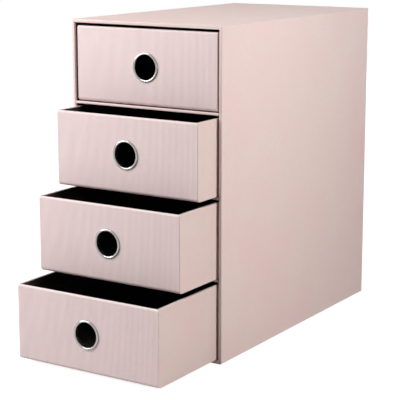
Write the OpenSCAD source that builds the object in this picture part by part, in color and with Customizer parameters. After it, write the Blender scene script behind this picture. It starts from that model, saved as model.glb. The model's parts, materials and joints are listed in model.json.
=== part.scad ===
// Desktop box of four small drawers, made of greyboard covered with rose paper and lined
// with black paper. Millimetres. The case stands on z = 0, its front edges face -Y, and the
// origin is the centre of its footprint. Drawer 1 is the top one and drawer 4 the bottom one.

/* [Case] */
// Width of the case over its covering paper
case_w = 134; // [100:1:180]
// Depth of the case from its front edges to its back
case_d = 238; // [180:1:300]
// Height of the case
case_h = 250; // [220:1:300]
// Thickness of the case's boards
case_board_t = 2.2; // [1.6:0.1:3.5]
// Thickness of the boards that divide the bays
shelf_board_t = 1.5; // [1:0.1:3]

/* [Papers] */
// Thickness of the rose covering paper
wrap_t = 0.2; // [0.1:0.05:0.4]
// Thickness of the black lining where it lies over a turned-in edge
lining_t = 0.2; // [0.1:0.05:0.5]
// Length of the covering paper that is turned in over an edge of the case
case_turn = 15; // [8:1:30]
// Bare strip of covering paper between the case's front edges and its lining
case_reveal = 2; // [1:0.5:5]
// Distance from the case's edges to the papers that close its back and base
panel_inset = 2; // [1:0.5:5]
// Length of the covering paper that is turned in under a drawer's rim
drawer_turn = 12; // [6:1:16]
// Bare strip of covering paper between a drawer's rim and its lining
drawer_reveal = 1; // [0.5:0.5:4]

/* [Drawers] */
// Thickness of the drawers' boards
drawer_board_t = 1.6; // [1:0.1:2.5]
// Gap between a drawer and its bay at each side
side_gap = 1.6; // [0.5:0.1:3]
// Gap over a drawer
top_gap = 1.9; // [0.5:0.1:4]
// Running gap between a drawer and the floor it slides on
run_gap = 0.3; // [0.2:0.05:0.8]
// Gap behind a closed drawer
back_gap = 0.5; // [0.3:0.1:3]
// How far a closed drawer's front lies behind the case's front edges
recess = 1; // [0:0.1:4]
// Thickness of the ribbed sheet on a drawer's front
facing_t = 0.3; // [0.2:0.05:0.8]
// Distance from a drawer's edges to the ribbed sheet
facing_inset = 0.3; // [0.1:0.1:2]

/* [How far each drawer is pulled out] */
// Top drawer
pull_1 = 0; // [0:0.1:200]
// Second drawer
pull_2 = 26.2; // [0:0.1:200]
// Third drawer
pull_3 = 49.7; // [0:0.1:200]
// Bottom drawer
pull_4 = 76.5; // [0:0.1:200]

/* [Finger eyelets] */
// Diameter of the finger hole
eyelet_hole_d = 18.6; // [14:0.2:24]
// Width of the half-round bead round the finger hole
eyelet_bead_w = 1.8; // [1.2:0.1:3]
// Wall thickness of the eyelet's tube
eyelet_wall = 0.4; // [0.3:0.05:0.6]
// Width of the lip rolled over behind the washer
eyelet_lip_w = 1.2; // [0.8:0.1:2]
// Gap between the eyelet's tube and the hole it sits in
eyelet_fit = 0.1; // [0.05:0.05:0.3]
// Width of the washer's ring behind the front board
washer_w = 2.2; // [1.5:0.1:4]
// Thickness of the washer
washer_t = 0.5; // [0.3:0.1:1]

/* [Hidden] */
drawer_count = 4;
pulls = [pull_1, pull_2, pull_3, pull_4];

paper_rose = [0.86, 0.77, 0.75];
paper_black = [0.06, 0.055, 0.055];
board_grey = [0.55, 0.51, 0.46];
metal_bright = [0.82, 0.82, 0.84];
round_fn = 96;
through = 1;

// Full thickness of the black lining: it is level where it passes onto a turned-in edge
lining_full = wrap_t + lining_t;

// Outside of the case's boards, with one paper on the top, sides and front, and two on the
// back and the base, where a closing paper covers the turned-in flaps
board_x = case_w / 2 - wrap_t;
board_front = -case_d / 2 + wrap_t;
board_back = case_d / 2 - 2 * wrap_t;
board_low = 2 * wrap_t;
board_high = case_h - wrap_t;

// Hollow between the case's boards
hollow_x = board_x - case_board_t;
hollow_back = board_back - case_board_t;
hollow_low = board_low + case_board_t;
hollow_high = board_high - case_board_t;

// Clear inside of the lined case
inner_x = hollow_x - lining_full;
inner_back = hollow_back - lining_full;
inner_low = hollow_low + lining_full;
inner_high = hollow_high - lining_full;
turn_end = -case_d / 2 + case_turn;
lining_front = -case_d / 2 + case_reveal;

// Bays, from the top down
shelf_t = shelf_board_t + 2 * lining_full;
bay_h = (inner_high - inner_low - (drawer_count - 1) * shelf_t) / drawer_count;
bay_pitch = bay_h + shelf_t;
function bay_floor(n) = inner_low + (drawer_count - n) * bay_pitch;
function shelf_low(n) = bay_floor(n) - shelf_t;

// Drawers: the front of the ribbed sheet is y = 0 and the underside z = 0 in a drawer's frame
drawer_x = inner_x - side_gap;
drawer_h = bay_h - run_gap - top_gap;
drawer_front = facing_t;
drawer_back = inner_back - back_gap - (-case_d / 2 + recess);
drawer_skin = wrap_t + drawer_board_t;
drawer_wall = drawer_skin + lining_full;
drawer_board_high = drawer_h - wrap_t;
drawer_turn_low = drawer_board_high - drawer_turn;
drawer_lining_high = drawer_h - drawer_reveal;
hole_z = drawer_h / 2;

// Eyelets
tube_r = eyelet_hole_d / 2 + eyelet_wall;
seat_r = tube_r + eyelet_fit;
washer_y = drawer_front + drawer_wall;
lip_y = washer_y + washer_t;

// A box between two opposite corners
module block(low, high) {
    translate(low) cube(high - low);
}

// A box centred across the width, from its half width and its y and z spans
module span(half_x, y, z) {
    block([-half_x, y[0], z[0]], [half_x, y[1], z[1]]);
}

// The same shape at both sides of the case or of a drawer
module both_sides() {
    children();
    mirror([1, 0, 0]) children();
}

// A round shape whose axis runs back from the front of a drawer, from y = 0
module along_y(y) {
    translate([0, y, hole_z]) rotate([-90, 0, 0]) children();
}

// The hole through a drawer's front wall that the eyelet's tube fits
module finger_hole() {
    along_y(-through) cylinder(r = seat_r, h = washer_y + 2 * through, $fn = round_fn);
}

// Half of a round bead that stands on the line y = 0, from its inner radius outwards
module half_bead(inner_r, width, up) {
    intersection() {
        translate([inner_r + width / 2, 0]) circle(d = width, $fn = round_fn);
        translate([inner_r, up ? 0 : -width]) square(width);
    }
}

module at_drawer(n) {
    translate([0, -case_d / 2 + recess - pulls[n - 1], bay_floor(n) + run_gap]) children();
}

// Side board, full height and depth: the others fit between the two
module case_side_board() {
    block([hollow_x, board_front, board_low], [board_x, board_back, board_high]);
}

module case_left() {
    color(board_grey) mirror([1, 0, 0]) case_side_board();
}

module case_right() {
    color(board_grey) case_side_board();
}

module case_top() {
    color(board_grey) span(hollow_x, [board_front, board_back], [hollow_high, board_high]);
}

module case_bottom() {
    color(board_grey) span(hollow_x, [board_front, board_back], [board_low, hollow_low]);
}

module case_back() {
    color(board_grey) span(hollow_x, [hollow_back, board_back], [hollow_low, hollow_high]);
}

// Rose paper over the sides and the top: it is folded over the front edges and turned in,
// and its flaps are glued down on the back and the base
module case_wrap() {
    flap_x = case_w / 2 - case_turn;
    flap_back = board_back + wrap_t;
    color(paper_rose) union() {
        span(case_w / 2, [-case_d / 2, flap_back], [board_high, case_h]);
        span(hollow_x, [-case_d / 2, board_front], [hollow_high - wrap_t, case_h]);
        span(hollow_x, [-case_d / 2, turn_end], [hollow_high - wrap_t, hollow_high]);
        span(case_w / 2, [board_back, flap_back], [case_h - case_turn, case_h]);
        both_sides() {
            block([board_x, -case_d / 2, wrap_t], [case_w / 2, flap_back, case_h]);
            block([hollow_x - wrap_t, -case_d / 2, wrap_t], [case_w / 2, board_front, case_h]);
            block([hollow_x - wrap_t, -case_d / 2, hollow_low], [hollow_x, turn_end, hollow_high]);
            block([flap_x, -case_d / 2, wrap_t], [case_w / 2, flap_back, board_low]);
            block([flap_x, board_back, wrap_t], [case_w / 2, flap_back, case_h]);
        }
    }
}

// Rose paper that closes the back, over the flaps of the wrap
module case_back_paper() {
    color(paper_rose) difference() {
        span(case_w / 2 - panel_inset, [board_back, case_d / 2], [board_low, case_h - panel_inset]);
        both_sides() block([case_w / 2 - case_turn, board_back - through, 0],
                           [case_w / 2, board_back + wrap_t, case_h]);
        span(case_w / 2, [board_back - through, board_back + wrap_t],
             [case_h - case_turn, case_h]);
    }
}

// Rose paper that closes the base, over the flaps of the wrap and of the base strip
module case_base_paper() {
    color(paper_rose) difference() {
        span(case_w / 2 - panel_inset, [-case_d / 2 + panel_inset, board_back], [0, board_low]);
        both_sides() block([case_w / 2 - case_turn, -case_d / 2, wrap_t],
                           [case_w / 2, case_d / 2, board_low + through]);
        span(case_w / 2, [-case_d / 2, turn_end], [wrap_t, board_low + through]);
    }
}

// Strip of rose paper folded round the front edge of the base
module base_strip() {
    color(paper_rose) union() {
        span(hollow_x - wrap_t, [-case_d / 2, board_front], [board_low, hollow_low + wrap_t]);
        span(hollow_x - wrap_t, [-case_d / 2, turn_end], [hollow_low, hollow_low + wrap_t]);
        span(case_w / 2 - case_turn, [-case_d / 2, turn_end], [wrap_t, board_low]);
    }
}

// Black lining of the whole hollow, thinner where it lies over the turned-in paper
module case_lining() {
    color(paper_black) difference() {
        union() {
            span(hollow_x, [turn_end, hollow_back], [hollow_low, hollow_high]);
            span(hollow_x - wrap_t, [lining_front, turn_end],
                 [hollow_low + wrap_t, hollow_high - wrap_t]);
        }
        span(inner_x, [lining_front - through, inner_back], [inner_low, inner_high]);
    }
}

// Board between two bays, under bay n
module shelf_board(n) {
    z = shelf_low(n) + lining_full;
    color(board_grey)
        span(inner_x, [board_front, inner_back - lining_t], [z, z + shelf_board_t]);
}

// Strip of rose paper folded round the front edge of a shelf
module shelf_strip(n) {
    z = shelf_low(n) + lining_t;
    color(paper_rose) difference() {
        span(inner_x, [-case_d / 2, turn_end], [z, z + shelf_board_t + 2 * wrap_t]);
        span(inner_x + through, [board_front, turn_end + through],
             [z + wrap_t, z + wrap_t + shelf_board_t]);
    }
}

// Black paper over both faces of a shelf, folded round its back edge
module shelf_cover(n) {
    z = shelf_low(n);
    color(paper_black) difference() {
        span(inner_x, [lining_front, inner_back], [z, z + shelf_t]);
        span(inner_x + through, [lining_front - through, inner_back - lining_t],
             [z + lining_full, z + lining_full + shelf_board_t]);
        span(inner_x + through, [lining_front - through, turn_end],
             [z + lining_t, z + shelf_t - lining_t]);
    }
}

// Front board of a drawer, over the full width, with the bore for the eyelet
module drawer_front_board(n) {
    color(board_grey) at_drawer(n) difference() {
        span(drawer_x - wrap_t, [drawer_front + wrap_t, drawer_front + drawer_skin],
             [wrap_t, drawer_board_high]);
        finger_hole();
    }
}

module drawer_back_board(n) {
    color(board_grey) at_drawer(n)
        span(drawer_x - wrap_t, [drawer_back - drawer_skin, drawer_back - wrap_t],
             [wrap_t, drawer_board_high]);
}

// Side board of a drawer, between its front and back boards: side is 1 or -1
module drawer_side_board(n, side) {
    color(board_grey) at_drawer(n) mirror([side < 0 ? 1 : 0, 0, 0])
        block([drawer_x - drawer_skin, drawer_front + drawer_skin, wrap_t],
              [drawer_x - wrap_t, drawer_back - drawer_skin, drawer_board_high]);
}

// Bottom board of a drawer, between its four walls
module drawer_bottom_board(n) {
    color(board_grey) at_drawer(n)
        span(drawer_x - drawer_skin, [drawer_front + drawer_skin, drawer_back - drawer_skin],
             [wrap_t, drawer_skin]);
}

// Rose paper of a drawer: under it, round its four walls, over the rim and turned in
module drawer_wrap(n) {
    inside = drawer_skin + wrap_t;
    color(paper_rose) at_drawer(n) difference() {
        span(drawer_x, [drawer_front, drawer_back], [0, drawer_h]);
        span(drawer_x - inside, [drawer_front + inside, drawer_back - inside],
             [wrap_t, drawer_h + through]);
        span(drawer_x - wrap_t, [drawer_front + wrap_t, drawer_back - wrap_t],
             [wrap_t, drawer_turn_low]);
        difference() {
            span(drawer_x - wrap_t, [drawer_front + wrap_t, drawer_back - wrap_t],
                 [wrap_t, drawer_board_high]);
            span(drawer_x - drawer_skin, [drawer_front + drawer_skin, drawer_back - drawer_skin],
                 [0, drawer_h]);
        }
        finger_hole();
    }
}

// Black lining of a drawer's walls and floor, thinner where it lies over the turned-in paper
module drawer_lining(n) {
    inside = drawer_skin + wrap_t;
    color(paper_black) at_drawer(n) difference() {
        union() {
            span(drawer_x - drawer_skin, [drawer_front + drawer_skin, drawer_back - drawer_skin],
                 [drawer_skin, drawer_turn_low]);
            span(drawer_x - inside, [drawer_front + inside, drawer_back - inside],
                 [drawer_skin, drawer_lining_high]);
        }
        span(drawer_x - drawer_wall, [drawer_front + drawer_wall, drawer_back - drawer_wall],
             [drawer_wall, drawer_h]);
        finger_hole();
    }
}

// Ribbed sheet glued on a drawer's front, as a plain sheet
module drawer_facing(n) {
    color(paper_rose) at_drawer(n) difference() {
        span(drawer_x - facing_inset, [0, facing_t], [facing_inset, drawer_h - facing_inset]);
        finger_hole();
    }
}

// Metal eyelet: a half-round bead on the front, a tube through the wall and a rolled lip
module drawer_eyelet(n) {
    hole_r = eyelet_hole_d / 2;
    color(metal_bright) at_drawer(n) along_y(0) rotate_extrude($fn = round_fn) {
        half_bead(hole_r, eyelet_bead_w, false);
        translate([hole_r, 0]) square([eyelet_wall, lip_y]);
        translate([0, lip_y]) half_bead(hole_r, eyelet_lip_w, true);
    }
}

// Flat washer under the eyelet's rolled lip
module drawer_washer(n) {
    color(metal_bright) at_drawer(n) along_y(washer_y) difference() {
        cylinder(r = seat_r + washer_w, h = washer_t, $fn = round_fn);
        translate([0, 0, -through]) cylinder(r = seat_r, h = washer_t + 2 * through, $fn = round_fn);
    }
}

case_left();
case_right();
case_top();
case_bottom();
case_back();
case_wrap();
case_back_paper();
case_base_paper();
base_strip();
case_lining();

for (n = [1:drawer_count - 1]) {
    shelf_board(n);
    shelf_strip(n);
    shelf_cover(n);
}

for (n = [1:drawer_count]) {
    drawer_front_board(n);
    drawer_back_board(n);
    drawer_side_board(n, -1);
    drawer_side_board(n, 1);
    drawer_bottom_board(n);
    drawer_wrap(n);
    drawer_lining(n);
    drawer_facing(n);
    drawer_eyelet(n);
    drawer_washer(n);
}
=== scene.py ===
# %% [markdown]
# # A desktop box of four small drawers
#
# The real object is a box for a desk, made by a bookbinder's craft: greyboard is cut, glued at
# the corners and covered with thin dusty-rose paper, which is folded round every edge and
# turned in. The inside is lined with black paper. Four open trays slide in the box, and each
# one has a front of finely ribbed paper with a metal eyelet for a fingertip.
#
# Most boards, the case's lining and the shelves' black papers come from the measured model.
# This script loads it, and then makes the rest: the folded rose papers, the drawers' linings
# and front boards, the ribbed fronts, the eyelets and their washers. Sizes are in metres, and
# most of them are read from the measured model, so that everything fits.

# %% Load the measured model
import json
import math

import bmesh
import bpy
from mathutils import Matrix, Vector

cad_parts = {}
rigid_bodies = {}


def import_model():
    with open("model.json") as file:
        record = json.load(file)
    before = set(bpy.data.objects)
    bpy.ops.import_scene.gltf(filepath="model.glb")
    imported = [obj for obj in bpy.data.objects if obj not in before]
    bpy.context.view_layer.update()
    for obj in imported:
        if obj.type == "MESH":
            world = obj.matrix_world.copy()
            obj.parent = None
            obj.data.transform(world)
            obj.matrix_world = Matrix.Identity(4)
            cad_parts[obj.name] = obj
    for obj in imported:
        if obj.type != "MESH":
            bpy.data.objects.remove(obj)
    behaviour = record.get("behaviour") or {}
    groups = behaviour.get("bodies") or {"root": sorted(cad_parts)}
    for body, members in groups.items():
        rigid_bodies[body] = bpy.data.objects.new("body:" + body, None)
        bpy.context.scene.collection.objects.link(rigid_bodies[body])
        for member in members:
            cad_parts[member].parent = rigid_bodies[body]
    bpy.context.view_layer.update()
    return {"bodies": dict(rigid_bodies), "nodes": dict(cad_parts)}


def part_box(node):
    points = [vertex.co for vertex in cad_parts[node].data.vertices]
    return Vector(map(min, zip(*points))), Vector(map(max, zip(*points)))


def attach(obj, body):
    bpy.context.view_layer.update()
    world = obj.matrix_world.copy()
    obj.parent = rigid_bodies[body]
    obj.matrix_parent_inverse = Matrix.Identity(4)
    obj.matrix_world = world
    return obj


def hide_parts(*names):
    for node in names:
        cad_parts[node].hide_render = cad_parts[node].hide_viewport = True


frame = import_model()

MM = 0.001
DRAWERS = [name for name in frame["bodies"] if name.startswith("drawer_")]
print("drawers:", ", ".join(DRAWERS))

# %% [markdown]
# ## The camera
#
# A camera decides how every later piece is judged, so it is made first. The photograph looks
# at the box from the front right and slightly from above. Its upright edges stay parallel,
# which a photographer gets by shifting the lens. Only a small shift is used here, because a
# large one would push the box out of the picture in other views. The long lens keeps the
# perspective as mild as in the photograph.

# %% Place the camera
CAMERA_AT = Vector((557.8, -915.9, 322.1)) * MM
CAMERA_TURN = math.radians(32.585)
CAMERA_DOWN = math.radians(11.037)
LENS_LENGTH = 119.14
LENS_SHIFT = -0.05

camera_data = bpy.data.cameras.new("camera")
camera_data.lens = LENS_LENGTH
camera_data.shift_y = LENS_SHIFT
camera = bpy.data.objects.new("camera", camera_data)
camera.location = CAMERA_AT
camera.rotation_euler = (math.radians(90) - CAMERA_DOWN, 0, CAMERA_TURN)
bpy.context.collection.objects.link(camera)
bpy.context.scene.camera = camera
bpy.context.scene.view_settings.view_transform = "Standard"
print("lens in mm:", LENS_LENGTH, "shift:", LENS_SHIFT)

# %% [markdown]
# ## Small helpers for node materials
#
# A procedural material is a little chain of nodes. These helpers add a node, set its sockets
# and join it up, so that each recipe below reads as a list of what the finish is made of. All
# patterns are read from Object coordinates. Every piece has its origin at the same place, so
# a pattern runs on from one piece to the next. The Mix node has a set of sockets for each kind
# of value under the same names, so its colour sockets are picked by their numbers.

# %% Helpers for node materials
MIX_FACTOR, MIX_FIRST, MIX_SECOND, MIX_COLOUR = 0, 6, 7, 2


def add_node(tree, kind, inputs=(), **settings):
    """Adds a node and sets its properties. An input that is a socket is linked, others are set."""
    node = tree.nodes.new(kind)
    for name, value in settings.items():
        setattr(node, name, value)
    for name, value in dict(inputs).items():
        if isinstance(value, bpy.types.NodeSocket):
            tree.links.new(value, node.inputs[name])
        else:
            node.inputs[name].default_value = value
    return node


def new_material(name):
    """An empty Principled material: its tree, its shader and the object coordinates."""
    material = bpy.data.materials.new(name)
    material.use_nodes = True
    tree = material.node_tree
    tree.nodes.clear()
    shader = add_node(tree, "ShaderNodeBsdfPrincipled")
    output = add_node(tree, "ShaderNodeOutputMaterial")
    tree.links.new(shader.outputs["BSDF"], output.inputs["Surface"])
    place = add_node(tree, "ShaderNodeTexCoord").outputs["Object"]
    return material, tree, shader, place


def stretched(tree, place, scale):
    """The coordinates, scaled by a different factor along each axis."""
    return add_node(tree, "ShaderNodeMapping", {"Vector": place, "Scale": scale}).outputs["Vector"]


def noise(tree, place, size, detail=2.0, roughness=0.5):
    """Soft noise from 0 to 1 whose lumps are about size metres across."""
    inputs = {"Vector": place, "Scale": 1 / size, "Detail": detail, "Roughness": roughness}
    return add_node(tree, "ShaderNodeTexNoise", inputs).outputs["Fac"]


def ramp(tree, value, low, high, to_low=0.0, to_high=1.0):
    """The value remapped from one range to another, and held at its ends."""
    inputs = {"Value": value, "From Min": low, "From Max": high,
              "To Min": to_low, "To Max": to_high}
    return add_node(tree, "ShaderNodeMapRange", inputs).outputs["Result"]


def mixed(tree, factor, first, second):
    """A colour between two colours."""
    inputs = {MIX_FACTOR: factor, MIX_FIRST: first, MIX_SECOND: second}
    return add_node(tree, "ShaderNodeMix", inputs, data_type="RGBA").outputs[MIX_COLOUR]


def calculated(tree, operation, first, second):
    """One number made from two, such as their product."""
    inputs = {0: first, 1: second}
    return add_node(tree, "ShaderNodeMath", inputs, operation=operation).outputs[0]


def bumped(tree, shader, *layers):
    """Stacks bump layers, each (height socket, depth in metres), onto the shader's normal."""
    below = None
    for height, depth in layers:
        inputs = {"Height": height, "Strength": 1.0, "Distance": depth}
        if below:
            inputs["Normal"] = below
        below = add_node(tree, "ShaderNodeBump", inputs).outputs["Normal"]
    tree.links.new(below, shader.inputs["Normal"])


def rgb(red, green, blue):
    """A colour as seen on a screen, from 0 to 255, turned into the linear light of a shader."""
    def linear(value):
        value /= 255
        return value / 12.92 if value <= 0.04045 else ((value + 0.055) / 1.055) ** 2.4
    return (linear(red), linear(green), linear(blue), 1)

# %% [markdown]
# ## Rose paper
#
# The covering is a thin, smooth paper in one solid colour with a satin surface. Seen close, it
# is never quite even: the dye lies in faint clouds, from a hand's width down to a few
# millimetres, fibres lie in the sheet, it cockles a little from the glue, and it shows a fine
# tooth where light rakes across it. So the recipe mixes two near tones with a noise, adds long
# thin fibres, and stacks three bumps. Where the sheet is folded, the colour cracks a little and
# the pale core of the paper shows, so folds get their own lighter, less pink material, which is
# also a painted highlight for the sheen along the rounded edges.
#
# A noise stays near its middle. So a range a little narrower than its own is stretched out to
# the full mix of two tones. A coordinate that is scaled down draws a pattern out along it.

# %% Make the rose papers
CLOUD_SIZE, CLOUD_RANGE = 40 * MM, (0.35, 0.65)
LYING_FIBRE, STANDING_FIBRE, FIBRE_STRETCH = 1.2 * MM, 1.0 * MM, 0.25
FIBRE_RANGE = (0.26, 0.36)
BAND_SIZE, BAND_STRETCH, BAND_WEAKEST = 6 * MM, 0.05, 0.85
SCUFF_SIZE, SCUFF_RANGE, DULLER, SHINIER = 9 * MM, (0.3, 0.7), 0.06, 0.05
COCKLE_SIZE, COCKLE_DEPTH = 14 * MM, 0.12 * MM
TOOTH_SIZE, TOOTH_DEPTH = 0.3 * MM, 0.012 * MM
FIBRE_DEPTH = 0.006 * MM
SATIN = 0.6


def rose_paper(name, tone, pinker, fibre_tone, roughness, valley_shade_tone=None):
    """A satin paper of two near tones with fibres, and painted shade in the valleys if the sheet
    is ribbed.
    """
    material, tree, shader, place = new_material(name)
    clouds = noise(tree, place, CLOUD_SIZE, detail=5, roughness=0.62)
    drift = ramp(tree, clouds, *CLOUD_RANGE)
    lying = noise(tree, stretched(tree, place, (1, FIBRE_STRETCH, 1)), LYING_FIBRE, detail=3)
    standing = noise(tree, stretched(tree, place, (1, 1, FIBRE_STRETCH)), STANDING_FIBRE, detail=3)
    fibres = ramp(tree, calculated(tree, "MULTIPLY", lying, standing), *FIBRE_RANGE)
    colour = mixed(tree, fibres, mixed(tree, drift, tone, pinker), fibre_tone)
    if valley_shade_tone:
        # Painted light and shade on the ribs: the valleys get the darker tone and the crests the
        # paler one, a little weaker in the noise's bands.
        crest = add_node(tree, "ShaderNodeAttribute", attribute_type="GEOMETRY",
                         attribute_name="rib_crest").outputs["Fac"]
        bands = noise(tree, stretched(tree, place, (1, 1, BAND_STRETCH)), BAND_SIZE, detail=1)
        strength = ramp(tree, bands, *CLOUD_RANGE, BAND_WEAKEST, 1.0)
        painted_rib_light = calculated(tree, "MULTIPLY", crest, strength)
        colour = mixed(tree, painted_rib_light, valley_shade_tone, colour)
    tree.links.new(colour, shader.inputs["Base Color"])
    scuffs = noise(tree, place, SCUFF_SIZE, detail=4, roughness=0.6)
    sheen = ramp(tree, scuffs, *SCUFF_RANGE, roughness - SHINIER, roughness + DULLER)
    tree.links.new(sheen, shader.inputs["Roughness"])
    tooth = noise(tree, place, TOOTH_SIZE, detail=2)
    cockle = noise(tree, place, COCKLE_SIZE, detail=1)
    bumped(tree, shader, (cockle, COCKLE_DEPTH), (fibres, FIBRE_DEPTH), (tooth, TOOTH_DEPTH))
    shader.inputs["Specular IOR Level"].default_value = SATIN
    return material


ROSE = rose_paper("smooth_rose_paper", tone=rgb(232, 208, 199), pinker=rgb(235, 201, 196),
                  fibre_tone=rgb(230, 202, 195), roughness=0.5)
# The fold paper's lighter, less pink tone is partly a painted highlight on the rounded edges.
FOLD_WEAR_AND_HIGHLIGHT = rose_paper("folded_rose_paper_painted_highlight", tone=rgb(226, 213, 209), pinker=rgb(226, 211, 208),
                    fibre_tone=rgb(222, 208, 204), roughness=0.6)
print("papers:", ROSE.name, FOLD_WEAR_AND_HIGHLIGHT.name)

# %% [markdown]
# ## Ribbed paper
#
# The drawers' fronts are faced with a paper that has fine upright ribs, about a millimetre
# apart. The ribs themselves are real geometry, made further down. The material is the same
# rose with painted light and shade on the ribs, on top of the shading their shape gives: a
# painted highlight makes the crests paler and a touch cooler, and painted shade makes the
# valleys darker, where less light gets in, with a little of it the dye lying thicker there. The
# sheet carries an attribute that is 1 on a crest and 0 in a valley, and the material mixes its
# tones by it. The rollers that emboss such a paper leave faint broad bands, so a noise drawn
# out upwards weakens the painted crest highlight a little in places.

# %% Make the ribbed paper
# The pale crest tones and the darker valley tone are painted light and shade on the ribs.
RIBBED = rose_paper("ribbed_rose_paper", tone=rgb(251, 232, 227), pinker=rgb(252, 227, 228),
                    fibre_tone=rgb(247, 226, 223), roughness=0.48,
                    valley_shade_tone=rgb(213, 191, 190))
print("ribbed paper:", RIBBED.name)

# %% [markdown]
# ## Black lining paper, greyboard and bright metal
#
# The lining is a matt black paper. Black things in a render still need a little light, or the
# corners vanish, so it is a very dark warm grey with a fine grain. Greyboard is pressed from
# waste paper: a warm grey with darker flecks. The eyelets are stamped from thin plated steel,
# bright enough to mirror the lamps, and a little uneven where the bead was rolled over.

# %% Make the black paper, greyboard and metal
GRAIN_SIZE, GRAIN_RANGE, GRAIN_DEPTH = 0.5 * MM, (0.35, 0.7), 0.02 * MM
WEAR_SIZE, WEAR_RANGE = 30 * MM, (0.3, 0.7)
BLACK_TONES = rgb(46, 40, 37), rgb(64, 56, 52)
BLACK_ROUGHNESS, BLACK_GLOSS = (0.5, 0.62), 0.4
PULP_SIZE, PULP_RANGE, PULP_DEPTH = 2.5 * MM, (0.3, 0.7), 0.08 * MM
FLECK_SIZE, FLECK_RANGE = 0.8 * MM, (0.66, 0.72)
BOARD_TONES, FLECK_TONE = (rgb(140, 128, 114), rgb(170, 158, 142)), rgb(95, 88, 82)
BOARD_ROUGHNESS = 0.9
STAMPING_SIZE, STAMPING_RANGE, STAMPING_DEPTH = 1.5 * MM, (0.3, 0.7), 0.01 * MM
METAL_TONES = rgb(150, 148, 146), rgb(170, 168, 166)
METAL_ROUGHNESS = (0.16, 0.28)


def black_paper():
    material, tree, shader, place = new_material("black_lining_paper")
    grain = noise(tree, place, GRAIN_SIZE, detail=4)
    wear = noise(tree, place, WEAR_SIZE, detail=3)
    colour = mixed(tree, ramp(tree, grain, *GRAIN_RANGE), *BLACK_TONES)
    tree.links.new(colour, shader.inputs["Base Color"])
    tree.links.new(ramp(tree, wear, *WEAR_RANGE, *BLACK_ROUGHNESS), shader.inputs["Roughness"])
    bumped(tree, shader, (grain, GRAIN_DEPTH))
    shader.inputs["Specular IOR Level"].default_value = BLACK_GLOSS
    return material


def greyboard():
    material, tree, shader, place = new_material("greyboard")
    pulp = noise(tree, place, PULP_SIZE, detail=6, roughness=0.7)
    flecks = ramp(tree, noise(tree, place, FLECK_SIZE, detail=1), *FLECK_RANGE)
    body = mixed(tree, ramp(tree, pulp, *PULP_RANGE), *BOARD_TONES)
    tree.links.new(mixed(tree, flecks, body, FLECK_TONE), shader.inputs["Base Color"])
    shader.inputs["Roughness"].default_value = BOARD_ROUGHNESS
    bumped(tree, shader, (pulp, PULP_DEPTH))
    return material


def bright_metal():
    material, tree, shader, place = new_material("plated_steel")
    stamping = noise(tree, place, STAMPING_SIZE, detail=4, roughness=0.65)
    tree.links.new(mixed(tree, stamping, *METAL_TONES), shader.inputs["Base Color"])
    shader.inputs["Metallic"].default_value = 1.0
    gloss = ramp(tree, stamping, *STAMPING_RANGE, *METAL_ROUGHNESS)
    tree.links.new(gloss, shader.inputs["Roughness"])
    bumped(tree, shader, (stamping, STAMPING_DEPTH))
    return material


BLACK, BOARD, METAL = black_paper(), greyboard(), bright_metal()
print("other finishes:", BLACK.name, BOARD.name, METAL.name)

# %% [markdown]
# ## Dress the measured pieces that stay
#
# Most boards, the case's lining and the shelves' covers have the right shape already, so they
# only get a finish. The boards are covered all over, and their hard corners would poke through
# the rounded folds of the paper. A Weld and a Bevel modifier take them back a little, as glue
# and pressing do.

# %% Dress the boards and linings
SHELVES = ("shelf_1", "shelf_2", "shelf_3")
BOARD_ENDS = ("_back", "_left", "_right", "_bottom", "_top", *SHELVES)
LINING_ENDS = ("case_lining", "_cover")
SAME_POINT = 0.001 * MM
CRUSH = 0.45 * MM
BOARD_CORNER = math.radians(60)


def crush_edges(board):
    """Rounds a board's edges without touching its mesh."""
    weld = board.modifiers.new("weld", "WELD")
    weld.merge_threshold = SAME_POINT
    bevel = board.modifiers.new("crush", "BEVEL")
    bevel.width = CRUSH
    bevel.segments = 2
    bevel.limit_method = "ANGLE"
    bevel.angle_limit = BOARD_CORNER


def dress(node, material):
    node.data.materials.clear()
    node.data.materials.append(material)


for node_name, node in frame["nodes"].items():
    if node_name.endswith(LINING_ENDS):
        dress(node, BLACK)
    elif node_name.endswith(BOARD_ENDS):
        dress(node, BOARD)
        crush_edges(node)
kept = [name for name in frame["nodes"] if name.endswith(LINING_ENDS + BOARD_ENDS)]
print("measured pieces dressed:", len(kept))

# %% [markdown]
# ## Folding paper
#
# A covering is a flat sheet, folded and glued down. So each one starts as an open surface with
# sharp creases, on the outer face of the paper. Bevelling only the creases that fold outwards
# rounds them, and the new strips of faces get the lighter fold material, with its painted
# highlight. The Solidify modifier then gives the sheet its thickness, inwards, towards the board.

# %% Helpers that fold paper
PAPER = 0.2 * MM
FOLD_RADIUS = 0.6 * MM
FOLD_STEPS = 3
CREASE = math.radians(30)
MOSTLY = 0.9


def corners_of(low, high):
    """The matrix that puts a cube of side 1 between two opposite corners."""
    size = high - low
    return Matrix.Translation((low + high) / 2) @ Matrix.Diagonal((*size, 1))


def faces_towards(bm, direction):
    """The faces that look mostly in one direction."""
    direction = Vector(direction)
    return [face for face in bm.faces if face.normal.dot(direction) > MOSTLY]


def everything(bm):
    return bm.verts[:] + bm.edges[:] + bm.faces[:]


def push_open(bm, faces, by):
    """Extrudes faces and leaves the pushed end open, so that only its new walls are left."""
    pushed = bmesh.ops.extrude_face_region(bm, geom=faces)
    moved = [item for item in pushed["geom"] if isinstance(item, bmesh.types.BMVert)]
    ends = [item for item in pushed["geom"] if isinstance(item, bmesh.types.BMFace)]
    bmesh.ops.translate(bm, verts=moved, vec=by)
    left = [face for face in faces if face.is_valid]
    bmesh.ops.delete(bm, geom=list(set(ends + left)), context="FACES")


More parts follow.
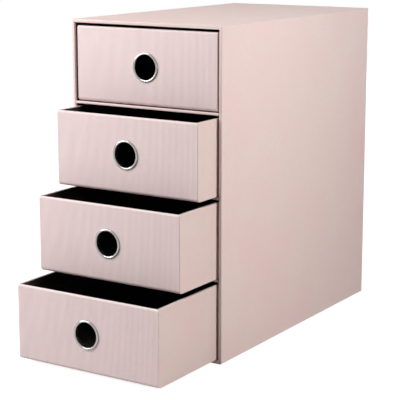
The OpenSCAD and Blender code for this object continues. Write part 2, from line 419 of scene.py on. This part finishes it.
def round_folds(bm, radius=FOLD_RADIUS):
    """Rounds every crease that folds outwards, and gives it the second material."""
    bmesh.ops.remove_doubles(bm, verts=bm.verts, dist=SAME_POINT)
    bm.normal_update()
    folds = [edge for edge in bm.edges if len(edge.link_faces) == 2
             and edge.is_convex and edge.calc_face_angle() > CREASE]
    rounded = bmesh.ops.bevel(bm, geom=folds, offset=radius, offset_type="OFFSET", affect="EDGES",
                              segments=FOLD_STEPS, profile=0.5, material=-1, clamp_overlap=True)
    for face in rounded["faces"]:
        face.material_index = 1


def finish_piece(name, bm, body, replaced, materials):
    """Makes the object, hides the measured pieces it stands in for, and ties it to the body it
    moves with.
    """
    for face in bm.faces:
        face.smooth = True
    mesh = bpy.data.meshes.new(name)
    bm.to_mesh(mesh)
    bm.free()
    for material in materials:
        mesh.materials.append(material)
    piece = bpy.data.objects.new(name, mesh)
    bpy.context.collection.objects.link(piece)
    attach(piece, body)
    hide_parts(*replaced)
    return piece


def thicken(piece):
    """Gives a sheet its thickness, inwards from its outer face."""
    solid = piece.modifiers.new("thickness", "SOLIDIFY")
    solid.thickness = PAPER
    solid.offset = -1
    solid.use_even_offset = True


def flatten_shading(piece):
    """Keeps large faces flat to the eye next to their rounded folds."""
    piece.modifiers.new("shading", "WEIGHTED_NORMAL").keep_sharp = True


def tell(piece):
    print(piece.name, "faces:", len(piece.data.polygons))

# %% [markdown]
# ## The wrap of the case
#
# One sheet goes up one side, over the top and down the other side. It is folded over the front
# edges of the boards and turned in, and its ends are glued down behind and below. It could be
# built fold by fold, but a shorter way starts from a box twice as tall as the case: an inset
# at the front makes the folded edge, pushing that face back makes the turned-in part, and an
# inset behind makes the flaps. Cutting the box in half at the base then leaves one open arch.

# %% Wrap the case
wrap_low, wrap_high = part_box("case_wrap")
board_low, board_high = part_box("case_left")
strip_low, strip_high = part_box("base_strip")
CASE_TURN = strip_high.y - strip_low.y
EDGE_WIDTH = board_high.x - board_low.x + 2 * PAPER


def make_case_wrap():
    bm = bmesh.new()
    height = wrap_high.z - wrap_low.z
    below = Vector((wrap_low.x, wrap_low.y, wrap_low.z - height))
    bmesh.ops.create_cube(bm, size=1, matrix=corners_of(below, wrap_high))
    front = faces_towards(bm, (0, -1, 0))
    bmesh.ops.inset_region(bm, faces=front, thickness=EDGE_WIDTH, use_even_offset=True)
    push_open(bm, front, (0, CASE_TURN, 0))
    back = faces_towards(bm, (0, 1, 0))
    bmesh.ops.inset_region(bm, faces=back, thickness=CASE_TURN, use_even_offset=True)
    bmesh.ops.delete(bm, geom=back, context="FACES")
    bmesh.ops.bisect_plane(bm, geom=everything(bm), clear_inner=True,
                           plane_co=(0, 0, wrap_low.z), plane_no=(0, 0, 1))
    foot = [edge for edge in bm.edges if edge.is_boundary
            and all(abs(vert.co.z - wrap_low.z) < PAPER for vert in edge.verts)
            and all(abs(abs(vert.co.x) - wrap_high.x) < PAPER for vert in edge.verts)]
    turned = bmesh.ops.extrude_edge_only(bm, edges=foot)
    flaps = [item for item in turned["geom"] if isinstance(item, bmesh.types.BMVert)]
    for vert in flaps:
        vert.co.x -= math.copysign(CASE_TURN, vert.co.x)
    bmesh.ops.recalc_face_normals(bm, faces=bm.faces)
    round_folds(bm)
    wrap = finish_piece("case_wrap_paper", bm, "case", ["case_wrap"], [ROSE, FOLD_WEAR_AND_HIGHLIGHT])
    thicken(wrap)
    flatten_shading(wrap)
    return wrap


tell(make_case_wrap())

# %% [markdown]
# ## Strips round the front edges of the base and the shelves
#
# The raw front edges inside the case are hidden by narrow strips of the same paper, folded
# round each board like a book's spine. Each one is a box without its back and its ends, so
# that only the three glued faces are left. Under the base, the strip lies between the flaps of
# the wrap, so what would run under them is cut away.

# %% Fold the strips
def fold_strip(name, node_name, flap_half_width=None):
    low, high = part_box(node_name)
    bm = bmesh.new()
    bmesh.ops.create_cube(bm, size=1, matrix=corners_of(low, high))
    behind = faces_towards(bm, (0, 1, 0))
    ends = faces_towards(bm, (1, 0, 0)) + faces_towards(bm, (-1, 0, 0))
    bmesh.ops.delete(bm, geom=behind + ends, context="FACES")
    if flap_half_width:
        for side in (-1, 1):
            bmesh.ops.bisect_plane(bm, geom=everything(bm), plane_no=(side, 0, 0),
                                   plane_co=(side * flap_half_width, 0, 0))
        under = [face for face in faces_towards(bm, (0, 0, -1))
                 if abs(face.calc_center_median().x) > flap_half_width]
        bmesh.ops.delete(bm, geom=under, context="FACES")
    round_folds(bm, radius=min(FOLD_RADIUS, (high.z - low.z) / 3))
    strip = finish_piece(name, bm, "case", [node_name], [ROSE, FOLD_WEAR_AND_HIGHLIGHT])
    thicken(strip)
    flatten_shading(strip)
    return strip


for shelf in SHELVES:
    tell(fold_strip(f"{shelf}_edge_paper", f"{shelf}_strip"))
tell(fold_strip("base_edge_paper", "base_strip", flap_half_width=wrap_high.x - CASE_TURN))

# %% [markdown]
# ## Closing papers on the back and the base
#
# The last sheets to go on cover the back and the base, a little short of the edges. They lie
# over the flaps of the wrap, and because paper is thin and the glue pulls it down, the edge of
# each flap shows through as a faint step. An inset with a shallow sunk middle gives that step.

# %% Close the back and the base
STEP_SOFTNESS = 1.2 * MM
STEP_DEPTH = 0.12 * MM


def closing_paper(name, node_name, outward, margin):
    low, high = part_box(node_name)
    bm = bmesh.new()
    bmesh.ops.create_cube(bm, size=1, matrix=corners_of(low, high))
    sheet = faces_towards(bm, outward)
    bmesh.ops.inset_region(bm, faces=sheet, thickness=margin, use_even_offset=True)
    bmesh.ops.inset_region(bm, faces=sheet, thickness=STEP_SOFTNESS, use_even_offset=True)
    sunk = {vert for face in sheet for vert in face.verts}
    bmesh.ops.translate(bm, verts=list(sunk), vec=Vector(outward) * -STEP_DEPTH)
    piece = finish_piece(name, bm, "case", [node_name], [ROSE])
    flatten_shading(piece)
    return piece


PANEL_INSET = wrap_high.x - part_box("case_back_paper")[1].x
FLAP_MARGIN = CASE_TURN - PANEL_INSET
tell(closing_paper("back_closing_paper", "case_back_paper", (0, 1, 0), FLAP_MARGIN))
tell(closing_paper("base_closing_paper", "case_base_paper", (0, 0, -1), FLAP_MARGIN))

# %% [markdown]
# ## The wrap of a drawer
#
# A drawer is an open tray. Its paper covers the underside and the four walls, goes over the
# rim and is turned in. It starts from a box: an inset of the top face makes the rim, pushing
# that face down makes the turned-in part, and deleting it opens the tray. The front board is
# sanded round along its top and bottom, so these two edges get a wide bevel before the other
# folds get a tight one. A cylinder taken away with a Boolean modifier makes the finger hole,
# and is then thrown away.

# %% Wrap the drawers
HOLE_SEGMENTS = 96
PUNCH_LENGTH = 20 * MM
SEAT_RADIUS = 9.8 * MM
TURNED_IN = 12 * MM + PAPER
BOTTOM_CURL, TOP_CURL, CURL_STEPS = 2.7 * MM, 1.7 * MM, 8
TIGHT_FOLD = 0.25 * MM
NEAR = 0.01 * MM


def punch_hole(piece, centre, radius):
    """Cuts a round hole through a front, along the depth of the drawer."""
    bm = bmesh.new()
    turn = Matrix.Translation(centre) @ Matrix.Rotation(math.radians(90), 4, "X")
    bmesh.ops.create_cone(bm, cap_ends=True, segments=HOLE_SEGMENTS, radius1=radius,
                          radius2=radius, depth=PUNCH_LENGTH, matrix=turn)
    mesh = bpy.data.meshes.new("punch")
    bm.to_mesh(mesh)
    bm.free()
    punch = bpy.data.objects.new("punch", mesh)
    bpy.context.collection.objects.link(punch)
    cut = piece.modifiers.new("finger_hole", "BOOLEAN")
    cut.operation = "DIFFERENCE"
    cut.solver = "EXACT"
    cut.object = punch
    graph = bpy.context.evaluated_depsgraph_get()
    done = bpy.data.meshes.new_from_object(piece.evaluated_get(graph))
    piece.modifiers.clear()
    piece.data = done
    bpy.data.objects.remove(punch)


def eyelet_centre(drawer):
    """The centre of a drawer's eyelet, on the front of the ribbed sheet."""
    sheet_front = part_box(f"{drawer}_facing")[0].y
    washer_low, washer_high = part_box(f"{drawer}_washer")
    middle = (washer_low + washer_high) / 2
    return Vector((middle.x, sheet_front, middle.z))


def edges_along_x(bm, y, z):
    """The edges that run along x at one depth and height."""
    return [edge for edge in bm.edges
            if all(abs(vert.co.y - y) < NEAR and abs(vert.co.z - z) < NEAR for vert in edge.verts)]


def round_edges(bm, edges, radius, segments=CURL_STEPS):
    rounded = bmesh.ops.bevel(bm, geom=edges, offset=radius, offset_type="OFFSET", affect="EDGES",
                              segments=segments, profile=0.5, material=-1, clamp_overlap=True)
    return rounded["faces"]


def make_drawer_wrap(drawer):
    low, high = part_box(f"{drawer}_wrap")
    wall_low, wall_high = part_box(f"{drawer}_left")
    rim = wall_high.x - wall_low.x + 2 * PAPER
    bm = bmesh.new()
    bmesh.ops.create_cube(bm, size=1, matrix=corners_of(low, high))
    top = faces_towards(bm, (0, 0, 1))
    ring = bmesh.ops.inset_region(bm, faces=top, thickness=rim, use_even_offset=True)
    for face in ring["faces"]:
        face.material_index = 1
    push_open(bm, top, (0, 0, -TURNED_IN))
    bmesh.ops.recalc_face_normals(bm, faces=bm.faces)
    bmesh.ops.remove_doubles(bm, verts=bm.verts, dist=SAME_POINT)
    round_edges(bm, edges_along_x(bm, low.y, low.z), BOTTOM_CURL)
    curled = round_edges(bm, edges_along_x(bm, low.y, high.z), TOP_CURL)
    curled += round_edges(bm, edges_along_x(bm, low.y + rim, high.z), TIGHT_FOLD, segments=2)
    for face in curled:
        face.material_index = 1
    round_folds(bm)
    wrap = finish_piece(f"{drawer}_paper", bm, drawer,
                        [f"{drawer}_wrap"], [ROSE, FOLD_WEAR_AND_HIGHLIGHT])
    thicken(wrap)
    punch_hole(wrap, eyelet_centre(drawer), SEAT_RADIUS)
    flatten_shading(wrap)
    return wrap


for drawer in DRAWERS:
    tell(make_drawer_wrap(drawer))

# %% [markdown]
# ## The black lining of a drawer
#
# The lining is the last sheet to go into a drawer. It covers the turned-in paper right up to
# the rim, and a narrow lip of it is folded out over the inner half of the rim, so that from
# above the walls look thinner than they are. It starts as a box without its lid; the lip is
# pulled out of the open edge and moved outwards. The measured lining also fills the step under
# the turned-in paper, so this single sheet lies one paper further in.

# %% Line the drawers
LIP_OUT = 0.8 * MM


def make_drawer_lining(drawer):
    low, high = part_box(f"{drawer}_lining")
    rim_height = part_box(f"{drawer}_wrap")[1].z
    low = low + Vector((PAPER, PAPER, PAPER))
    high = Vector((high.x - PAPER, high.y - PAPER, rim_height))
    middle = (low + high) / 2
    bm = bmesh.new()
    bmesh.ops.create_cube(bm, size=1, matrix=corners_of(low, high))
    bmesh.ops.delete(bm, geom=faces_towards(bm, (0, 0, 1)), context="FACES_ONLY")
    fold = [edge for edge in bm.edges if edge.is_boundary]
    lip = bmesh.ops.extrude_edge_only(bm, edges=fold)
    for vert in (item for item in lip["geom"] if isinstance(item, bmesh.types.BMVert)):
        vert.co.x += math.copysign(LIP_OUT, vert.co.x - middle.x)
        vert.co.y += math.copysign(LIP_OUT, vert.co.y - middle.y)
    bmesh.ops.recalc_face_normals(bm, faces=bm.faces)
    round_edges(bm, fold, TIGHT_FOLD, segments=3)
    lining = finish_piece(f"{drawer}_lining_paper", bm, drawer,
                          [f"{drawer}_lining"], [BLACK])
    thicken(lining)
    punch_hole(lining, eyelet_centre(drawer), SEAT_RADIUS)
    flatten_shading(lining)
    return lining


for drawer in DRAWERS:
    tell(make_drawer_lining(drawer))

# %% [markdown]
# ## The front board of a drawer
#
# The board inside the front wall has the same soft top and bottom edges as the paper round it.
# Its bottom curve is wider than the board is thick. So a thicker block gets both bevels, and
# a cut then takes away what lies behind the board.

# %% Round the front boards
SHARP_CORNER = math.radians(40)


def make_front_board(drawer):
    low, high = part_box(f"{drawer}_front")
    bm = bmesh.new()
    deep = Vector((high.x, low.y + 2 * BOTTOM_CURL, high.z))
    bmesh.ops.create_cube(bm, size=1, matrix=corners_of(low, deep))
    round_edges(bm, edges_along_x(bm, low.y, low.z), BOTTOM_CURL - PAPER)
    round_edges(bm, edges_along_x(bm, low.y, high.z), TOP_CURL - PAPER)
    cut = bmesh.ops.bisect_plane(bm, geom=everything(bm), clear_outer=True,
                                 plane_co=high, plane_no=(0, 1, 0))
    rim = [edge for edge in cut["geom_cut"] if isinstance(edge, bmesh.types.BMEdge)]
    bmesh.ops.holes_fill(bm, edges=rim)
    bmesh.ops.recalc_face_normals(bm, faces=bm.faces)
    board = finish_piece(f"{drawer}_front_board", bm, drawer,
                         [f"{drawer}_front"], [BOARD])
    punch_hole(board, eyelet_centre(drawer), SEAT_RADIUS)
    board.data.set_sharp_from_angle(angle=SHARP_CORNER)
    return board


for drawer in DRAWERS:
    tell(make_front_board(drawer))

# %% [markdown]
# ## Ribbed fronts
#
# The front sheet has upright ribs about a millimetre apart. A bump map would do for a distant
# picture, but the ribs are what gives the front its soft stripes, so they are modelled: a
# grid with a few columns to each rib, each column moved in or out along a wave. Spinning its
# top and bottom edges a little way round lays the sheet over the board's soft edges, and a
# back face pulled out behind it makes the sheet solid. After the hole is cut, each point is
# marked with how near it is to a crest, for the paper's material. Damp glue stretches paper by
# a hair and each sheet was cut from the roll at a different place, so every drawer has its own
# pitch and its own start, the part of a rib that the sheet begins with.

# %% Make the ribbed fronts
RIB_HEIGHT = 0.12 * MM
COLUMNS_PER_RIB = 8
RIBS = {
    "drawer_1": (0.995 * MM, 0.37),
    "drawer_2": (1.016 * MM, 0.27),
    "drawer_3": (1.029 * MM, 0.09),
    "drawer_4": (1.040 * MM, 0.09),
}


def curl(bm, z, axis_y, turn):
    """Spins the sheet's edge at height z round an axis behind it."""
    edge = [item for item in bm.edges if all(abs(vert.co.z - z) < NEAR for vert in item.verts)]
    bmesh.ops.spin(bm, geom=edge, cent=(0, axis_y, z), axis=(1, 0, 0), angle=turn,
                   steps=CURL_STEPS)


def rib_crest(drawer, x):
    """1 on the crest of a rib, 0 in a valley."""
    pitch, start = RIBS[drawer]
    return 0.5 + 0.5 * math.cos(2 * math.pi * (x / pitch + start))


def back_of_sheet(point, back, bottom, top):
    """Where a point of the sheet's face lies on its back: flat, or on the curve it follows."""
    if bottom <= point.z <= top:
        return Vector((point.x, back, point.z))
    z, radius = (bottom, BOTTOM_CURL) if point.z < bottom else (top, TOP_CURL)
    axis = Vector((point.x, back + radius, z))
    return axis + (point - axis).normalized() * radius


def make_facing(drawer):
    low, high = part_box(f"{drawer}_facing")
    wrap_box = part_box(f"{drawer}_wrap")
    sheet = high.y - low.y
    bottom, top = wrap_box[0].z + BOTTOM_CURL, wrap_box[1].z - TOP_CURL
    width, height = high.x - low.x, top - bottom
    columns = round(width / RIBS[drawer][0] * COLUMNS_PER_RIB)
    bm = bmesh.new()
    stand = (Matrix.Translation(((low.x + high.x) / 2, low.y, (bottom + top) / 2))
             @ Matrix.Rotation(math.radians(90), 4, "X")
             @ Matrix.Diagonal((width, height, 1, 1)))
    bmesh.ops.create_grid(bm, x_segments=columns, y_segments=1, size=0.5, matrix=stand)
    for vert in bm.verts:
        vert.co.y += RIB_HEIGHT * (1 - rib_crest(drawer, vert.co.x))
    bottom_turn = math.asin((bottom - low.z) / (BOTTOM_CURL + sheet))
    top_turn = math.asin((high.z - top) / (TOP_CURL + sheet))
    curl(bm, bottom, low.y + BOTTOM_CURL + sheet, bottom_turn)
    curl(bm, top, low.y + TOP_CURL + sheet, -top_turn)
    bmesh.ops.remove_doubles(bm, verts=bm.verts, dist=SAME_POINT)
    behind = bmesh.ops.extrude_face_region(bm, geom=bm.faces[:])
    for item in behind["geom"]:
        if isinstance(item, bmesh.types.BMVert):
            item.co = back_of_sheet(item.co, high.y, bottom, top)
    bmesh.ops.recalc_face_normals(bm, faces=bm.faces)
    facing = finish_piece(f"{drawer}_ribbed_front", bm, drawer,
                          [f"{drawer}_facing"], [RIBBED])
    punch_hole(facing, eyelet_centre(drawer), SEAT_RADIUS)
    # These crest marks steer the ribbed paper's painted light and shade.
    crests = facing.data.attributes.new("rib_crest", "FLOAT", "POINT")
    for vert, mark in zip(facing.data.vertices, crests.data):
        mark.value = rib_crest(drawer, vert.co.x)
    facing.data.set_sharp_from_angle(angle=SHARP_CORNER)
    return facing


for drawer in DRAWERS:
    tell(make_facing(drawer))

# %% [markdown]
# ## Finger eyelets and their washers
#
# An eyelet is a short tube with a round bead in front. It is pushed through the hole, and the
# end behind is rolled over a washer. Turned things start from half a section: a few corners,
# some of them rounded. Its face is only there for the rounding. It is deleted before its
# outline is spun once round the axis, or a copy of it would stay inside at every step.

# %% Make the eyelets and washers
SPIN_STEPS = 96
CORNER_STEPS = 6
HOLE_RADIUS = 9.3 * MM
BEAD_WIDTH = 1.8 * MM
TUBE_WALL = 0.4 * MM
LIP_WIDTH = 1.2 * MM
ROLLED = 0.45
WASHER_SOFTNESS = 0.3
METAL_CORNER = math.radians(50)


def spin_ring(section, rounded, centre):
    """Spins a section about the depth axis through a centre.

    The section is a list of (radius, depth), and rounded gives some of its corners a radius.
    """
    bm = bmesh.new()
    verts = [bm.verts.new((radius, depth, 0)) for radius, depth in section]
    bm.faces.new(verts)
    for index, radius in rounded.items():
        bmesh.ops.bevel(bm, geom=[verts[index]], offset=radius, offset_type="OFFSET",
                        affect="VERTICES", segments=CORNER_STEPS, profile=0.5, material=-1,
                        clamp_overlap=True)
    bmesh.ops.delete(bm, geom=bm.faces[:], context="FACES_ONLY")
    bmesh.ops.spin(bm, geom=bm.verts[:] + bm.edges[:], cent=(0, 0, 0), axis=(0, 1, 0),
                   angle=2 * math.pi, steps=SPIN_STEPS, use_merge=True)
    bmesh.ops.remove_doubles(bm, verts=bm.verts, dist=SAME_POINT)
    bmesh.ops.translate(bm, verts=bm.verts, vec=centre)
    bmesh.ops.recalc_face_normals(bm, faces=bm.faces)
    return bm


def make_eyelet(drawer):
    low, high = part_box(f"{drawer}_eyelet")
    washer_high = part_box(f"{drawer}_washer")[1]
    centre = eyelet_centre(drawer)
    bead_front = low.y - centre.y
    lip_front, lip_back = washer_high.y - centre.y, high.y - centre.y
    bead_edge, lip_edge = HOLE_RADIUS + BEAD_WIDTH, HOLE_RADIUS + LIP_WIDTH
    tube_edge = HOLE_RADIUS + TUBE_WALL
    section = [(HOLE_RADIUS, bead_front), (bead_edge, bead_front), (bead_edge, 0),
               (tube_edge, 0), (tube_edge, lip_front), (lip_edge, lip_front),
               (lip_edge, lip_back), (HOLE_RADIUS, lip_back)]
    bead, lip = BEAD_WIDTH * ROLLED, LIP_WIDTH * ROLLED
    bm = spin_ring(section, {0: bead, 1: bead, 6: lip, 7: lip}, centre)
    eyelet = finish_piece(f"{drawer}_finger_eyelet", bm, drawer,
                          [f"{drawer}_eyelet"], [METAL])
    eyelet.data.set_sharp_from_angle(angle=METAL_CORNER)
    return eyelet


def make_washer(drawer):
    low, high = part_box(f"{drawer}_washer")
    centre = eyelet_centre(drawer)
    front, back = low.y - centre.y, high.y - centre.y
    outer = (high.x - low.x) / 2
    section = [(SEAT_RADIUS, front), (outer, front), (outer, back), (SEAT_RADIUS, back)]
    edge = (back - front) * WASHER_SOFTNESS
    bm = spin_ring(section, {2: edge, 3: edge}, centre)
    washer = finish_piece(f"{drawer}_eyelet_washer", bm, drawer,
                          [f"{drawer}_washer"], [METAL])
    washer.data.set_sharp_from_angle(angle=METAL_CORNER)
    return washer


for drawer in DRAWERS:
    tell(make_eyelet(drawer))
    tell(make_washer(drawer))

# %% [markdown]
# ## Floor, background and light
#
# The photograph was taken on white. A white that comes from strong lamps would bleach the box,
# so the floor and the background are made white only for the camera, with a Light Path node,
# and the lamps stay at a plain level. The floor keeps a share of the shadow, and its own glow
# grows a little with distance, where the lamps no longer reach it. It lies a hair below the
# box, so that the two faces don't fight for the same place in a view from below.

# %% Make the floor and the background
FLOOR_SIZE = 12.0
FLOOR_GAP = 0.05 * MM
FLOOR_TONE = 0.4
NEAR_GLOW, FAR_GLOW = 0.89, 0.98
NEAR_END, FAR_END = 0.5, 2.5
FILL_LIGHT = 0.058
WHITE = (1, 1, 1, 1)


def seen_directly(tree):
    """1 for rays that see the surface itself, in a mirror or through glass, and 0 for others."""
    light_path = add_node(tree, "ShaderNodeLightPath").outputs
    seen = light_path["Is Camera Ray"]
    for name in ("Is Glossy Ray", "Is Transmission Ray"):
        seen = calculated(tree, "MAXIMUM", seen, light_path[name])
    return seen


def make_world():
    world = bpy.data.worlds.new("white_studio")
    world.use_nodes = True
    tree = world.node_tree
    tree.nodes.clear()
    fill = add_node(tree, "ShaderNodeBackground", {"Color": WHITE, "Strength": FILL_LIGHT})
    white = add_node(tree, "ShaderNodeBackground", {"Color": WHITE, "Strength": 1.0})
    choose = add_node(tree, "ShaderNodeMixShader", {0: seen_directly(tree)})
    tree.links.new(fill.outputs[0], choose.inputs[1])
    tree.links.new(white.outputs[0], choose.inputs[2])
    output = add_node(tree, "ShaderNodeOutputWorld")
    tree.links.new(choose.outputs[0], output.inputs["Surface"])
    bpy.context.scene.world = world


def make_floor():
    bm = bmesh.new()
    bmesh.ops.create_grid(bm, x_segments=1, y_segments=1, size=FLOOR_SIZE / 2,
                          matrix=Matrix.Translation((0, 0, -FLOOR_GAP)))
    mesh = bpy.data.meshes.new("floor")
    bm.to_mesh(mesh)
    bm.free()
    floor = bpy.data.objects.new("floor", mesh)
    bpy.context.collection.objects.link(floor)
    material = bpy.data.materials.new("pale_floor")
    material.use_nodes = True
    tree = material.node_tree
    tree.nodes.clear()
    pale = add_node(tree, "ShaderNodeBsdfDiffuse",
                    {"Color": (FLOOR_TONE, FLOOR_TONE, FLOOR_TONE, 1)})
    place = add_node(tree, "ShaderNodeTexCoord").outputs["Object"]
    length = add_node(tree, "ShaderNodeVectorMath", {0: place}, operation="LENGTH")
    brightness = ramp(tree, length.outputs["Value"], NEAR_END, FAR_END, NEAR_GLOW, FAR_GLOW)
    level = calculated(tree, "MULTIPLY", seen_directly(tree), brightness)
    glow = add_node(tree, "ShaderNodeEmission", {"Color": WHITE, "Strength": level})
    choose = add_node(tree, "ShaderNodeAddShader")
    tree.links.new(pale.outputs[0], choose.inputs[0])
    tree.links.new(glow.outputs[0], choose.inputs[1])
    output = add_node(tree, "ShaderNodeOutputMaterial")
    tree.links.new(choose.outputs[0], output.inputs["Surface"])
    mesh.materials.append(material)


make_world()
make_floor()
print("floor and background made, floor side:", FLOOR_SIZE)

# %% [markdown]
# ## Lamps
#
# One large soft lamp stands at the front left and lights the fronts, with a smaller one high
# above them. Two narrow strips on the right light the side and the top. They stand no further
# forward than the case's front edges, so that little of their light falls straight on these
# beside the open drawers. The upper strip is a touch cooler, as the brightest part of the
# photograph's side is less pink than the rest. A very large lamp far behind evens out the back.

# %% Hang the lamps
COOLER = (0.84, 1.0, 1.03)


def soft_lamp(name, at, towards, width, height, power, colour=(1, 1, 1)):
    """A softbox that the camera doesn't see, aimed at a point."""
    data = bpy.data.lights.new(name, "AREA")
    data.shape = "RECTANGLE"
    data.size, data.size_y = width, height
    data.energy = power
    data.color = colour
    lamp = bpy.data.objects.new(name, data)
    lamp.location = at
    lamp.rotation_euler = (Vector(towards) - Vector(at)).to_track_quat("-Z", "Y").to_euler()
    lamp.visible_camera = False
    bpy.context.collection.objects.link(lamp)
    print(name, "watts:", power)


soft_lamp("front_left_softbox", at=(-0.781, -0.706, 0.537), towards=(0, -0.05, 0.125),
          width=0.5, height=0.5, power=11.2)
soft_lamp("right_strip", at=(0.55, -0.12, 0.26), towards=(0.067, -0.08, 0.14),
          width=0.03, height=0.2, power=1.46)
soft_lamp("high_right_strip", at=(0.30, -0.10, 0.45), towards=(0.067, -0.05, 0.20),
          width=0.03, height=0.1, power=0.30, colour=COOLER)
soft_lamp("high_front_softbox", at=(-0.3, -0.5, 0.8), towards=(0, -0.10, 0.20),
          width=0.25, height=0.25, power=2.42)
soft_lamp("behind_softbox", at=(0, 1.945, 0.265), towards=(0, -0.05, 0.125),
          width=0.9, height=0.9, power=27.0)
